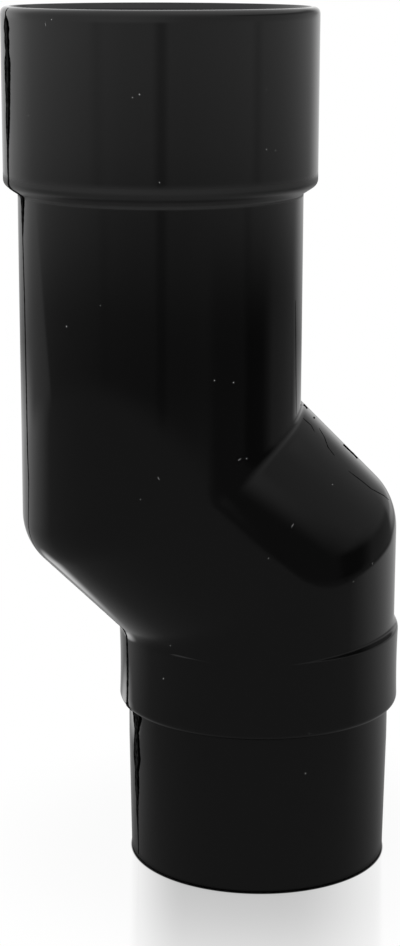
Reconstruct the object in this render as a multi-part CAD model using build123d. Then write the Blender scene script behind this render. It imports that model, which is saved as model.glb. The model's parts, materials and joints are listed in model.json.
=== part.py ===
from build123d import *
import math
import os

# Offset bend for round downpipe, moulded in one piece.
# Millimetres, +Z up. The origin is the centre of the spigot's bottom end.
# The bend lies in the XZ plane: the spigot stands on x = 0, the barrel and the socket on x = -offset.

# Pipe and walls
pipe_od = 68.0
wall = 2.5
spigot_wall = 2.4

# Spigot, from its bottom end up to the collar: a taper, then a straight land under the collar
spigot_length = 40.3
spigot_land = 10.0
spigot_slack = 1.15
spigot_taper = 0.55
tip_rounding = 0.8

# Collar that stops the spigot, with a slight waist, a soft shoulder above and a throat inside it
collar_height = 19.5
collar_rise = 1.2
collar_waist = 0.2
collar_shoulder = 2.2
collar_top_rounding = 3.0
collar_bottom_rounding = 1.7
collar_blend = 5.0
throat_height = 8.0

# Bend: each wall's corners have roundings of their own, named as on a foot and leg
offset = 26.0
bend_angle = 45.0
slope_swell = 1.7
ankle_swell = 1.25
ankle_swell_low = 0.9
instep_swell = 0.8
instep_drop = 0.3
barrel_front = 50.8
heel_rounding = 13.0
nape_rounding = 3.0
shin_rounding = 14.5
instep_rounding = 5.5
stations_per_bend = 7

# Shoulder and socket
shoulder_height = 2.2
shoulder_fillet = 0.8
shoulder_rounding = 2.0
stop_rise = 3.2
socket_clearance = 0.4
socket_wall = 3.0
socket_height = 41.0
rim_rounding = 1.5
lead_in = 1.0
lead_in_depth = 1.5

# Radii that follow from the sizes above
pipe_radius = pipe_od / 2
bore_radius = pipe_radius - wall
spigot_radius = pipe_radius - spigot_slack
tip_radius = spigot_radius - spigot_taper
collar_radius = pipe_radius + collar_rise
socket_bore_radius = pipe_radius + socket_clearance
socket_radius = socket_bore_radius + socket_wall

# Levels that follow: corner_rise is how far a wall's corner lies above or below the centreline's
angle = math.radians(bend_angle)
slope_half_depth = pipe_radius + slope_swell
corner_rise = (slope_half_depth - pipe_radius * math.cos(angle)) / math.sin(angle)
collar_middle = spigot_length + collar_height / 2
collar_top = spigot_length + collar_height
throat_top = spigot_length + throat_height
lower_corner = collar_top - instep_drop + corner_rise
upper_corner = lower_corner + offset / math.tan(angle)
crease = upper_corner + corner_rise + barrel_front
barrel_top = crease - shoulder_fillet
socket_base = crease + shoulder_height
stop = crease + stop_rise
rim = socket_base + socket_height


def wall_corner(side, column, inset):
    """Corner, in x and z, where the wall of an upright run meets the same wall of the slope."""
    x = column + side * (pipe_radius - inset)
    depth = side * (slope_half_depth - inset)
    z = upper_corner + (depth - (x + offset) * math.cos(angle)) / math.sin(angle)
    return x, z


def upper_bend_point(side, inset, rounding, fraction):
    """Point on the arc that rounds a wall's upper corner, a fraction of the way down the bend."""
    x, z = wall_corner(side, -offset, inset)
    turn = angle * fraction
    start = z + rounding * math.tan(angle / 2)
    return x + rounding * (1 - math.cos(turn)), start - rounding * math.sin(turn)


def lower_bend_point(side, inset, rounding, fraction):
    """Point on the arc that rounds a wall's lower corner, a fraction of the way down the bend."""
    x, z = wall_corner(side, 0 if side > 0 else -instep_swell, inset)
    turn = angle * (1 - fraction)
    end = z - rounding * math.tan(angle / 2)
    return x - rounding * (1 - math.cos(turn)), end + rounding * math.sin(turn)


def station(left, right, half_width):
    """Elliptical section whose long axis runs from the left wall to the right wall."""
    left_point = Vector(left[0], 0, left[1])
    right_point = Vector(right[0], 0, right[1])
    across = (right_point - left_point).normalized()
    middle = (left_point + right_point) / 2
    plane = Plane(origin=middle, x_dir=across, z_dir=across.cross(Vector(0, 1, 0)))
    return plane * Ellipse((right_point - left_point).length / 2, half_width)


def upper_half_width(fraction):
    """Half the body's width from front to back in the upper bend, where it starts to grow."""
    return pipe_radius + ankle_swell * 0.1 * fraction**2


def lower_half_width(fraction):
    """Half the body's width from front to back in the lower bend, where it stops growing."""
    return pipe_radius + ankle_swell * (1 - 0.1 * (1 - fraction) ** 2)


def bend_stations(bend_point, half_width, left_rounding, right_rounding, inset):
    """Sections through one bend, from its upper end to its lower end."""
    sections = []
    for number in range(stations_per_bend):
        fraction = number / (stations_per_bend - 1)
        left = bend_point(-1, inset, left_rounding, fraction)
        right = bend_point(1, inset, right_rounding, fraction)
        sections.append(station(left, right, half_width(fraction) - inset))
    return sections


def offset_tube(inset, bottom, left_swell, side_swell):
    """Solid through both bends, from the barrel's top to a level inside the collar."""
    radius = pipe_radius - inset
    upper_roundings = heel_rounding - inset, nape_rounding + inset
    lower_roundings = instep_rounding + inset, shin_rounding - inset
    upper_bend = bend_stations(upper_bend_point, upper_half_width, *upper_roundings, inset)
    lower_bend = bend_stations(lower_bend_point, lower_half_width, *lower_roundings, inset)
    first = station((-offset - radius, barrel_top), (-offset + radius, barrel_top), radius)
    last = station((-radius - left_swell, bottom), (radius, bottom), radius + side_swell)
    barrel = loft([first, upper_bend[0]], ruled=True)
    slope = loft([upper_bend[-1], lower_bend[0]], ruled=True)
    ankle = loft([lower_bend[-1], last], ruled=True)
    return barrel + loft(upper_bend) + slope + loft(lower_bend) + ankle


def rounded(face, roundings):
    """The same outline with the given corners rounded."""
    for corner, radius in roundings.items():
        place = Vector(*corner, 0)
        vertex = min(face.vertices(), key=lambda v: (Vector(v) - place).length)
        face = fillet(vertex, radius)
    return face


def turned(column, outline):
    """Solid of revolution about an upright axis, from an outline of radius and height."""
    profile = Pos(column, 0, 0) * (Plane.XZ * outline)
    return revolve(profile, axis=Axis((column, 0, 0), (0, 0, 1)))


def socket_body():
    outline = Polyline(
        (0, barrel_top),
        (pipe_radius, barrel_top),
        (pipe_radius, crease),
        (socket_radius, socket_base),
        (socket_radius, rim),
        (0, rim),
        close=True,
    )
    roundings = {
        (pipe_radius, crease): shoulder_fillet,
        (socket_radius, socket_base): shoulder_rounding,
        (socket_radius, rim): rim_rounding,
    }
    return turned(-offset, rounded(make_face(outline), roundings))


def socket_bore():
    outline = Polyline(
        (0, barrel_top),
        (bore_radius, barrel_top),
        (bore_radius, stop),
        (socket_bore_radius, stop),
        (socket_bore_radius, rim - lead_in_depth),
        (socket_bore_radius + lead_in, rim),
        (0, rim),
        close=True,
    )
    return turned(-offset, make_face(outline))


def collar():
    bottom_corner = (collar_radius, spigot_length)
    top_corner = (collar_radius, collar_top)
    side = ThreePointArc(bottom_corner, (collar_radius - collar_waist, collar_middle), top_corner)
    crest = (pipe_radius - collar_rise / 2, collar_top + 1.5 * collar_shoulder)
    rest = Polyline(top_corner, crest, (0, crest[1]), (0, spigot_length), bottom_corner)
    roundings = {bottom_corner: collar_bottom_rounding, top_corner: collar_top_rounding}
    return turned(0, rounded(make_face(side + rest), roundings))


def spigot():
    outline = Polyline(
        (0, 0),
        (tip_radius, 0),
        (spigot_radius, spigot_length - spigot_land),
        (spigot_radius, collar_middle),
        (0, collar_middle),
        close=True,
    )
    return turned(0, rounded(make_face(outline), {(tip_radius, 0): tip_rounding}))


def spigot_bore():
    outline = Polyline(
        (0, 0),
        (tip_radius - spigot_wall, 0),
        (tip_radius - spigot_wall, spigot_length),
        (bore_radius, throat_top),
        (0, throat_top),
        close=True,
    )
    return turned(0, make_face(outline))


def blended(tube, ring):
    """Two solids joined, with a fillet all along the crease between them."""
    body = tube + ring
    return fillet(new_edges(tube, ring, combined=body), collar_blend)


body = blended(offset_tube(0, collar_middle, instep_swell, ankle_swell_low), collar())
outside = body + socket_body() + spigot()
inside = offset_tube(wall, throat_top, 0, 0) + socket_bore() + spigot_bore()
offset_bend = outside - inside

os.makedirs("parts", exist_ok=True)
export_step(offset_bend, "parts/offset_bend.step")
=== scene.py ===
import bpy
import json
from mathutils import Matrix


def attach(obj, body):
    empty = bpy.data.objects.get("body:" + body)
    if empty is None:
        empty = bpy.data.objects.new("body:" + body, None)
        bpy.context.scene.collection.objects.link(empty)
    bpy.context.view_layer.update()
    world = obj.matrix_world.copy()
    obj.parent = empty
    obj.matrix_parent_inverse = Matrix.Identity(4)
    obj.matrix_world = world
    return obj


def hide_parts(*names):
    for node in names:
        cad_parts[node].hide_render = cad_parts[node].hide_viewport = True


bl_info = {
    "name": "Downpipe offset bend",
    "version": (1, 0, 0),
    "blender": (4, 5, 0),
    "location": "View3D > Sidebar > Offset bend",
    "description": "Builds a black moulded offset bend for round downpipe over its packed frame, on a stage",
    "category": "Object",
}

import bpy
import json
import math
from mathutils import Matrix, Vector, noise
from mathutils.bvhtree import BVHTree

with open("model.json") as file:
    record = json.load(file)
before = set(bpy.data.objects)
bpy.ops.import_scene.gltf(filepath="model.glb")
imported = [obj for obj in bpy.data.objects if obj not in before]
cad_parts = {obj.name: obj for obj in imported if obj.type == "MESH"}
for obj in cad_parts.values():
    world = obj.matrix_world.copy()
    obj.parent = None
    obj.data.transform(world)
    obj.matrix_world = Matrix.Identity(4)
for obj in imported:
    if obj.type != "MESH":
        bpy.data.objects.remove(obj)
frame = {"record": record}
node_name = "offset_bend"
mounts = {mount["name"]: mount for mount in frame["record"]["mounts"]}


class BendSizes(bpy.types.PropertyGroup):
    """Sizes of the moulding. The spigot's axis is x = 0 and the socket's is x = -offset."""

    pipe_radius: bpy.props.FloatProperty(
        name="Pipe radius",
        description="Outside radius of the barrel and of the pipe that the socket takes",
        default=0.034,
        unit="LENGTH",
    )
    wall: bpy.props.FloatProperty(
        name="Wall",
        description="Thickness of the wall in the barrel and the bends",
        default=0.0025,
        unit="LENGTH",
    )
    offset: bpy.props.FloatProperty(
        name="Offset",
        description="Distance between the axes of the socket and the spigot",
        default=-mounts["socket"]["pos_m"][0],
        unit="LENGTH",
    )
    bend_angle: bpy.props.FloatProperty(
        name="Bend angle",
        description="How far the slope leans from upright",
        default=math.radians(45),
        subtype="ANGLE",
    )
    slope_swell: bpy.props.FloatProperty(
        name="Slope swell",
        description="How much deeper the slope is than the barrel, on each side of its middle",
        default=0.0017,
        unit="LENGTH",
    )
    ankle_swell: bpy.props.FloatProperty(
        name="Ankle swell",
        description="How much wider than the barrel the body is at the lower bend's end, at front and back",
        default=0.00125,
        unit="LENGTH",
    )
    ankle_swell_low: bpy.props.FloatProperty(
        name="Low ankle swell",
        description="How much of the ankle's swell is left at the middle of the collar",
        default=0.0009,
        unit="LENGTH",
    )
    instep_swell: bpy.props.FloatProperty(
        name="Instep swell",
        description="How far the body's left wall stands out from the pipe under the slope",
        default=0.0008,
        unit="LENGTH",
    )
    instep_drop: bpy.props.FloatProperty(
        name="Instep drop",
        description="How far the slope's lower inner corner lies below the collar's top",
        default=0.0003,
        unit="LENGTH",
    )
    heel_rounding: bpy.props.FloatProperty(
        name="Heel rounding",
        description="Radius of the outer corner of the upper bend",
        default=0.013,
        unit="LENGTH",
    )
    nape_rounding: bpy.props.FloatProperty(
        name="Nape rounding",
        description="Radius of the inner corner of the upper bend",
        default=0.003,
        unit="LENGTH",
    )
    shin_rounding: bpy.props.FloatProperty(
        name="Shin rounding",
        description="Radius of the outer corner of the lower bend",
        default=0.0145,
        unit="LENGTH",
    )
    instep_rounding: bpy.props.FloatProperty(
        name="Instep rounding",
        description="Radius of the inner corner of the lower bend",
        default=0.0055,
        unit="LENGTH",
    )
    rim_height: bpy.props.FloatProperty(
        name="Rim height",
        description="Height of the socket's rim above the spigot's end",
        default=0.212475,
        unit="LENGTH",
    )
    socket_height: bpy.props.FloatProperty(
        name="Socket height",
        description="Height of the socket's side, from the shoulder to the rim",
        default=0.041,
        unit="LENGTH",
    )
    socket_wall: bpy.props.FloatProperty(
        name="Socket wall",
        description="Thickness of the socket's wall",
        default=0.003,
        unit="LENGTH",
    )
    socket_bore: bpy.props.FloatProperty(
        name="Socket bore",
        description="Radius of the socket's bore",
        default=mounts["socket"]["dims"]["r_mm"] / 1000,
        unit="LENGTH",
    )
    socket_depth: bpy.props.FloatProperty(
        name="Socket depth",
        description="Depth of the socket's bore, from the rim to the stop",
        default=0.04,
        unit="LENGTH",
    )
    lead_in: bpy.props.FloatProperty(
        name="Lead-in",
        description="How much the socket's mouth opens out",
        default=0.001,
        unit="LENGTH",
    )
    lead_in_depth: bpy.props.FloatProperty(
        name="Lead-in depth",
        description="Depth of the socket's opened mouth",
        default=0.0015,
        unit="LENGTH",
    )
    rim_rounding: bpy.props.FloatProperty(
        name="Rim rounding",
        description="Radius of the rim's outer edge",
        default=0.0015,
        unit="LENGTH",
    )
    shoulder_height: bpy.props.FloatProperty(
        name="Shoulder height",
        description="Height of the shoulder's slope between the barrel and the socket",
        default=0.0022,
        unit="LENGTH",
    )
    shoulder_rounding: bpy.props.FloatProperty(
        name="Shoulder rounding",
        description="Radius of the shoulder's outer corner",
        default=0.002,
        unit="LENGTH",
    )
    shoulder_fillet: bpy.props.FloatProperty(
        name="Shoulder fillet",
        description="Radius of the crease under the shoulder",
        default=0.0008,
        unit="LENGTH",
    )
    collar_height: bpy.props.FloatProperty(
        name="Collar height",
        description="Height of the stop collar's side",
        default=0.0195,
        unit="LENGTH",
    )
    collar_shoulder: bpy.props.FloatProperty(
        name="Collar shoulder",
        description="Height of the slope from the collar's side up to the pipe",
        default=0.0022,
        unit="LENGTH",
    )
    collar_top_rounding: bpy.props.FloatProperty(
        name="Collar top rounding",
        description="Radius of the corner between the collar's side and its slope",
        default=0.003,
        unit="LENGTH",
    )
    collar_bottom_rounding: bpy.props.FloatProperty(
        name="Collar bottom rounding",
        description="Radius of the corner between the collar's side and its lower edge",
        default=0.0017,
        unit="LENGTH",
    )
    collar_blend: bpy.props.FloatProperty(
        name="Collar blend",
        description="Radius of the fillet between the body and the collar",
        default=0.005,
        unit="LENGTH",
    )
    collar_rise: bpy.props.FloatProperty(
        name="Collar rise",
        description="How far the collar stands out from the pipe",
        default=0.0012,
        unit="LENGTH",
    )
    collar_waist: bpy.props.FloatProperty(
        name="Collar waist",
        description="How far the collar's side is drawn in at its middle",
        default=0.0002,
        unit="LENGTH",
    )
    spigot_radius: bpy.props.FloatProperty(
        name="Spigot radius",
        description="Radius of the spigot under the collar",
        default=mounts["spigot"]["dims"]["r_mm"] / 1000,
        unit="LENGTH",
    )
    spigot_length: bpy.props.FloatProperty(
        name="Spigot length",
        description="Length of the spigot, from its end to the collar",
        default=0.0403,
        unit="LENGTH",
    )
    spigot_land: bpy.props.FloatProperty(
        name="Spigot land",
        description="Length of the spigot's straight stretch under the collar",
        default=mounts["spigot"]["dims"]["length_mm"] / 1000,
        unit="LENGTH",
    )
    spigot_taper: bpy.props.FloatProperty(
        name="Spigot taper",
        description="How much the spigot's radius falls towards its end",
        default=0.00055,
        unit="LENGTH",
    )
    spigot_wall: bpy.props.FloatProperty(
        name="Spigot wall",
        description="Thickness of the wall at the spigot's end",
        default=0.0024,
        unit="LENGTH",
    )
    tip_rounding: bpy.props.FloatProperty(
        name="Tip rounding",
        description="Radius of the outer edge of the spigot's end",
        default=0.0008,
        unit="LENGTH",
    )
    throat_height: bpy.props.FloatProperty(
        name="Throat height",
        description="Height of the cone inside the collar, where the bore narrows to the spigot's",
        default=0.008,
        unit="LENGTH",
    )
    sink_depth: bpy.props.FloatProperty(
        name="Sink depth",
        description="Greatest depth of the soft unevenness that cooling leaves in the walls",
        default=0.00003,
        precision=6,
        unit="LENGTH",
    )
    sink_length: bpy.props.FloatProperty(
        name="Sink length",
        description="Distance from one soft sink to the next",
        default=0.035,
        unit="LENGTH",
    )
    columns: bpy.props.IntProperty(
        name="Columns",
        description="Number of mesh columns around the moulding",
        default=192,
        min=24,
    )

    @property
    def bore_radius(self):
        return self.pipe_radius - self.wall

    @property
    def socket_radius(self):
        return self.socket_bore + self.socket_wall

    @property
    def socket_base(self):
        return self.rim_height - self.socket_height

    @property
    def crease(self):
        return self.socket_base - self.shoulder_height

    @property
    def barrel_top(self):
        return self.crease - self.shoulder_fillet

    @property
    def rim_middle(self):
        return (self.socket_bore + self.lead_in + self.socket_radius - self.rim_rounding) / 2

    @property
    def collar_radius(self):
        return self.pipe_radius + self.collar_rise

    @property
    def collar_top(self):
        return self.spigot_length + self.collar_height

    @property
    def collar_middle(self):
        return self.spigot_length + self.collar_height / 2

    @property
    def throat_top(self):
        return self.spigot_length + self.throat_height

    @property
    def slope_half_depth(self):
        return self.pipe_radius + self.slope_swell

    @property
    def corner_rise(self):
        level = self.slope_half_depth - self.pipe_radius * math.cos(self.bend_angle)
        return level / math.sin(self.bend_angle)

    @property
    def upper_corner(self):
        lower_corner = self.collar_top - self.instep_drop + self.corner_rise
        return lower_corner + self.offset / math.tan(self.bend_angle)


# Lines and how they are sampled


def corner_arc(before, corner, after):
    """Points of the arc that rounds one corner, at most 8 degrees apart."""
    place = Vector(corner[:2])
    rounding = corner[2]
    back = (Vector(before[:2]) - place).normalized()
    ahead = (Vector(after[:2]) - place).normalized()
    half = back.angle(ahead) / 2
    centre = place + (back + ahead).normalized() * rounding / math.sin(half)
    first = place + back * rounding / math.tan(half) - centre
    last = place + ahead * rounding / math.tan(half) - centre
    sweep = math.pi - 2 * half
    steps = max(3, math.ceil(sweep / math.radians(8)))
    points = []
    for number in range(steps + 1):
        turn = sweep * number / steps
        points.append(centre + (first * math.sin(sweep - turn) + last * math.sin(turn)) / math.sin(sweep))
    return points


def rounded_line(corners):
    """Line of radius and height through corners, each given with its rounding."""
    line = [Vector(corners[0][:2])]
    for before, corner, after in zip(corners, corners[1:], corners[2:]):
        line.extend(corner_arc(before, corner, after))
    line.append(Vector(corners[-1][:2]))
    return line


def spaced(line, longest):
    """The same line with no step longer than the given one."""
    result = [line[0]]
    for start, end in zip(line, line[1:]):
        steps = max(1, math.ceil((end - start).length / longest))
        for number in range(1, steps + 1):
            result.append(start.lerp(end, number / steps))
    return result


def distances(line, turn_weight=0.0):
    """Distance of each point along a line, where each radian of turn may count as a length too."""
    turns = [0.0]
    for before, point, after in zip(line, line[1:], line[2:]):
        turns.append((point - before).angle(after - point, 0.0))
    turns.append(0.0)
    along = [0.0]
    for number in range(1, len(line)):
        step = (line[number] - line[number - 1]).length
        turn = (turns[number - 1] + turns[number]) / 2
        along.append(along[-1] + step + turn * turn_weight)
    return along


def sampled(line, along, places):
    """Points of a line at the given distances, in rising order."""
    result = []
    number = 1
    for place in places:
        while number < len(line) - 1 and along[number] < place:
            number += 1
        step = along[number] - along[number - 1]
        fraction = (place - along[number - 1]) / step if step else 0.0
        result.append(line[number - 1].lerp(line[number], min(1.0, max(0.0, fraction))))
    return result


def evened(line, count, turn_weight=0.012):
    """The line again with a set number of points, closer together where it turns."""
    along = distances(line, turn_weight)
    return sampled(line, along, [along[-1] * number / (count - 1) for number in range(count)])


def onwards(line, place):
    """The part of a line beyond a distance along it."""
    along = distances(line)
    start = sampled(line, along, [place])
    return start + [point for point, distance in zip(line, along) if distance > place + 1e-7]


def nearest_place(line, point):
    """Distance along a line of the place nearest to a point."""
    along = distances(line)
    best = (math.inf, 0.0)
    for number in range(1, len(line)):
        step = line[number] - line[number - 1]
        fraction = min(1.0, max(0.0, (point - line[number - 1]).dot(step) / step.length_squared))
        gap = (line[number - 1] + step * fraction - point).length
        best = min(best, (gap, along[number - 1] + step.length * fraction))
    return best[1]


# The moulding's lines

# Longest steps along the lines outside and inside, in metres
outside_step = 0.0016
inside_step = 0.0025
# Roundings in metres: inside the socket from its stop up to the rim, then down the spigot and up its bore
stop_edge_rounding = 0.0003
stop_corner_rounding = 0.0004
mouth_rounding = 0.001
rim_inner_rounding = 0.0002
collar_corner_rounding = 0.0002
taper_rounding = 0.05
tip_inner_rounding = 0.0003
throat_rounding = 0.004
# Turn, in radians, from a line down the body to the line beside it: together they give the wall's direction
turn_beside = 0.001
# Length that each radian of turn counts for where points are spread along the collar's side, in metres
side_turn_weight = 0.002
# Share of the body's swell that the upper bend brings, and that is still missing where the lower bend starts
early_swell = 0.1


def wall_corner(sizes, side, column, inset):
    """Corner, in x and z, where the wall of an upright run meets the same wall of the slope."""
    x = column + side * (sizes.pipe_radius - inset)
    depth = side * (sizes.slope_half_depth - inset)
    level = depth - (x + sizes.offset) * math.cos(sizes.bend_angle)
    return x, sizes.upper_corner + level / math.sin(sizes.bend_angle)


def upper_bend_point(sizes, side, inset, rounding, fraction):
    """Point on the arc that rounds a wall's upper corner, a fraction of the way down the bend."""
    x, z = wall_corner(sizes, side, -sizes.offset, inset)
    turn = sizes.bend_angle * fraction
    start = z + rounding * math.tan(sizes.bend_angle / 2)
    return Vector((x + rounding * (1 - math.cos(turn)), 0, start - rounding * math.sin(turn)))


def lower_bend_point(sizes, side, inset, rounding, fraction):
    """Point on the arc that rounds a wall's lower corner, a fraction of the way down the bend."""
    x, z = wall_corner(sizes, side, 0 if side > 0 else -sizes.instep_swell, inset)
    turn = sizes.bend_angle * (1 - fraction)
    end = z - rounding * math.tan(sizes.bend_angle / 2)
    return Vector((x - rounding * (1 - math.cos(turn)), 0, end + rounding * math.sin(turn)))


def upper_swell(sizes, fraction):
    """How much wider than the barrel the body is in the upper bend, at front and back."""
    return sizes.ankle_swell * early_swell * fraction**2


def lower_swell(sizes, fraction):
    """How much wider than the barrel the body is in the lower bend, at front and back."""
    return sizes.ankle_swell * (1 - early_swell * (1 - fraction) ** 2)


def tube_stations(sizes, inset, bottom, per_bend=40):
    """Left and right points and half widths of the tube's sections, from the barrel's top to a level."""
    radius = sizes.pipe_radius - inset
    left_x = -sizes.offset - radius
    right_x = -sizes.offset + radius
    stations = [(Vector((left_x, 0, sizes.barrel_top)), Vector((right_x, 0, sizes.barrel_top)), radius)]
    bends = (
        (upper_bend_point, upper_swell, sizes.heel_rounding - inset, sizes.nape_rounding + inset),
        (lower_bend_point, lower_swell, sizes.instep_rounding + inset, sizes.shin_rounding - inset),
    )
    for bend_point, swell, left_rounding, right_rounding in bends:
        for number in range(per_bend + 1):
            fraction = number / per_bend
            left = bend_point(sizes, -1, inset, left_rounding, fraction)
            right = bend_point(sizes, 1, inset, right_rounding, fraction)
            stations.append((left, right, radius + swell(sizes, fraction)))
    left_swell = 0 if inset else sizes.instep_swell
    side_swell = 0 if inset else sizes.ankle_swell_low
    last_left = Vector((-radius - left_swell, 0, bottom))
    stations.append((last_left, Vector((radius, 0, bottom)), radius + side_swell))
    return stations


def tube_column(sizes, inset, bottom, turn):
    """Line down the tube's skin at one turn about its middle, 0 at the right wall."""
    column = []
    for left, right, half_width in tube_stations(sizes, inset, bottom):
        sideways = Vector((0, half_width * math.sin(turn), 0))
        column.append((left + right) / 2 + (right - left) / 2 * math.cos(turn) + sideways)
    return column


def head_outside(sizes):
    """Line of radius and height over the rim and down to the barrel."""
    line = rounded_line([
        (sizes.rim_middle, sizes.rim_height, 0),
        (sizes.socket_radius, sizes.rim_height, sizes.rim_rounding),
        (sizes.socket_radius, sizes.socket_base, sizes.shoulder_rounding),
        (sizes.pipe_radius, sizes.crease, sizes.shoulder_fillet),
        (sizes.pipe_radius, sizes.barrel_top, 0),
    ])
    return spaced(line, outside_step)


def head_inside(sizes):
    """Line of radius and height up the barrel's top, over the stop and up the socket to the rim."""
    mouth = sizes.rim_height - sizes.lead_in_depth
    stop = sizes.rim_height - sizes.socket_depth
    line = rounded_line([
        (sizes.bore_radius, sizes.barrel_top, 0),
        (sizes.bore_radius, stop, stop_edge_rounding),
        (sizes.socket_bore, stop, stop_corner_rounding),
        (sizes.socket_bore, mouth, mouth_rounding),
        (sizes.socket_bore + sizes.lead_in, sizes.rim_height, rim_inner_rounding),
        (sizes.rim_middle, sizes.rim_height, 0),
    ])
    return spaced(line, inside_step)


def collar_and_spigot(sizes):
    """Line of radius and height from the crest of the collar's slope down to the throat inside it."""
    tip = sizes.spigot_radius - sizes.spigot_taper
    spigot_bore = tip - sizes.spigot_wall
    land_end = sizes.spigot_length - sizes.spigot_land
    line = rounded_line([
        (sizes.pipe_radius - sizes.collar_rise / 2, sizes.collar_top + 1.5 * sizes.collar_shoulder, 0),
        (sizes.collar_radius, sizes.collar_top, sizes.collar_top_rounding),
        (sizes.collar_radius, sizes.spigot_length, sizes.collar_bottom_rounding),
        (sizes.spigot_radius, sizes.spigot_length, collar_corner_rounding),
        (sizes.spigot_radius, land_end, taper_rounding),
        (tip, 0, sizes.tip_rounding),
        (spigot_bore, 0, tip_inner_rounding),
        (spigot_bore, sizes.spigot_length, throat_rounding),
        (sizes.bore_radius, sizes.throat_top, 0),
    ])
    line = spaced(line, outside_step)
    for point in line:
        if point.x > sizes.pipe_radius:
            level = (point.y - sizes.collar_middle) / (sizes.collar_height / 2)
            point.x -= sizes.collar_waist * max(0.0, 1 - level * level)
    return line


def blend_centre(beside, column, place, reach):
    """Centre of the ball that touches the body at a place along its line, given with the line beside it."""
    number = min(int(place), len(column) - 2)
    share = place - number
    point = column[number].lerp(column[number + 1], share)
    around = beside[number].lerp(beside[number + 1], share) - point
    outward = (column[number + 1] - column[number]).cross(around).normalized()
    return point + outward * reach


def gap_to_line(line, point):
    """Distance of a point from a line of radius and height about the spigot's axis."""
    flat = Vector((math.hypot(point.x, point.y), point.z))
    near = sampled(line, distances(line), [nearest_place(line, flat)])[0]
    return (near - flat).length


def blend_place(sizes, side, beside, column, halvings=18):
    """How far down the body's line the ball rests that touches the collar's side too."""
    reach = sizes.collar_blend
    low, high = 0.0, len(column) - 1.0
    for number in range(len(column) - 1, 0, -1):
        if gap_to_line(side, blend_centre(beside, column, number, reach)) > reach:
            low, high = number, number + 1.0
            break
    for _ in range(halvings):
        middle = (low + high) / 2
        if gap_to_line(side, blend_centre(beside, column, middle, reach)) > reach:
            low = middle
        else:
            high = middle
    return low


def about_axis(centre_x, turn, line):
    """A line of radius and height stood at one turn about an upright axis."""
    return [Vector((centre_x + p.x * math.cos(turn), p.x * math.sin(turn), p.y)) for p in line]


def outside_column(sizes, turn, body_points=130, crease_steps=10, side_points=22):
    """Line down the outside at one turn, from the rim to the collar's side, and its turn about the spigot."""
    foot = collar_and_spigot(sizes)
    side = foot[: min(n for n, p in enumerate(foot) if p.y < sizes.collar_middle) + 1]
    column = tube_column(sizes, 0, sizes.collar_middle, turn)
    beside = tube_column(sizes, 0, sizes.collar_middle, turn + turn_beside)
    place = blend_place(sizes, side, beside, column)
    centre = blend_centre(beside, column, place, sizes.collar_blend)
    start = column[int(place)].lerp(column[int(place) + 1], place - int(place))
    turn_below = math.atan2(centre.y, centre.x)
    touch = nearest_place(side, Vector((math.hypot(centre.x, centre.y), centre.z)))
    below = evened(onwards(side, touch), side_points, side_turn_weight)
    below = about_axis(0, turn_below, below)
    first, last = start - centre, below[0] - centre
    sweep = first.angle(last)
    crease = []
    for number in range(1, crease_steps):
        part = sweep * number / crease_steps
        crease.append(centre + (first * math.sin(sweep - part) + last * math.sin(part)) / math.sin(sweep))
    head = about_axis(-sizes.offset, turn, head_outside(sizes))
    body = evened(column[: int(place) + 1] + [start], body_points)
    return head[:-1] + body + crease + below, turn_below


def whole_column(sizes, turn, bore_points=80):
    """Closed line round the wall at one turn: down the outside, and up the inside."""
    outside, turn_below = outside_column(sizes, turn)
    foot = collar_and_spigot(sizes)
    side_end = min(n for n, p in enumerate(foot) if p.y < sizes.collar_middle)
    spigot = foot[side_end + 1 :]
    bore = tube_column(sizes, sizes.wall, sizes.throat_top, turn)
    bore.reverse()
    column = outside
    turn_below += 2 * math.pi * round((turn - turn_below) / (2 * math.pi))
    for number, point in enumerate(spigot):
        share = number / (len(spigot) - 1)
        column += about_axis(0, turn_below + (turn - turn_below) * share, [point])
    column += evened(bore, bore_points)[1:-1]
    column += about_axis(-sizes.offset, turn, head_inside(sizes))[:-1]
    return column


# Pieces and nodes


def new_piece(name, mesh):
    """Puts a mesh into the scene as an object at the origin."""
    piece = bpy.data.objects.new(name, mesh)
    bpy.context.scene.collection.objects.link(piece)
    return piece


def add_node(tree, kind, inputs=(), **settings):
    """Adds a node right of the last one. Its inputs, by name or number, are values or nodes' outputs."""
    node = tree.nodes.new(kind)
    node.location = (180 * len(tree.nodes), 0)
    for setting, value in settings.items():
        setattr(node, setting, value)
    for name, value in dict(inputs).items():
        if isinstance(value, bpy.types.NodeSocket):
            tree.links.new(value, node.inputs[name])
        else:
            node.inputs[name].default_value = value
    return node


def calculated(tree, operation, *values):
    """Output of a Math node."""
    return add_node(tree, "ShaderNodeMath", enumerate(values), operation=operation).outputs[0]


def product(tree, first, *others):
    """Output of all the values multiplied together."""
    for value in others:
        first = calculated(tree, "MULTIPLY", first, value)
    return first


def combined(tree, operation, first, second):
    """Output of a Vector Math node on two vectors, for an operation that gives a vector."""
    return add_node(tree, "ShaderNodeVectorMath", {0: first, 1: second}, operation=operation).outputs[0]


def measured(tree, operation, first, second):
    """Output of a Vector Math node on two vectors, for an operation that gives a number."""
    node = add_node(tree, "ShaderNodeVectorMath", {0: first, 1: second}, operation=operation)
    return node.outputs["Value"]


def scaled(tree, vector, number):
    """Output of a vector times a number."""
    return add_node(tree, "ShaderNodeVectorMath", {0: vector, "Scale": number}, operation="SCALE").outputs[0]


def eased(tree, value, start, end, low=0.0, high=1.0):
    """Output that goes smoothly from low to high as a value goes from start to end."""
    inputs = {"Value": value, "From Min": start, "From Max": end, "To Min": low, "To Max": high}
    return add_node(tree, "ShaderNodeMapRange", inputs, interpolation_type="SMOOTHSTEP").outputs[0]


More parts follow.
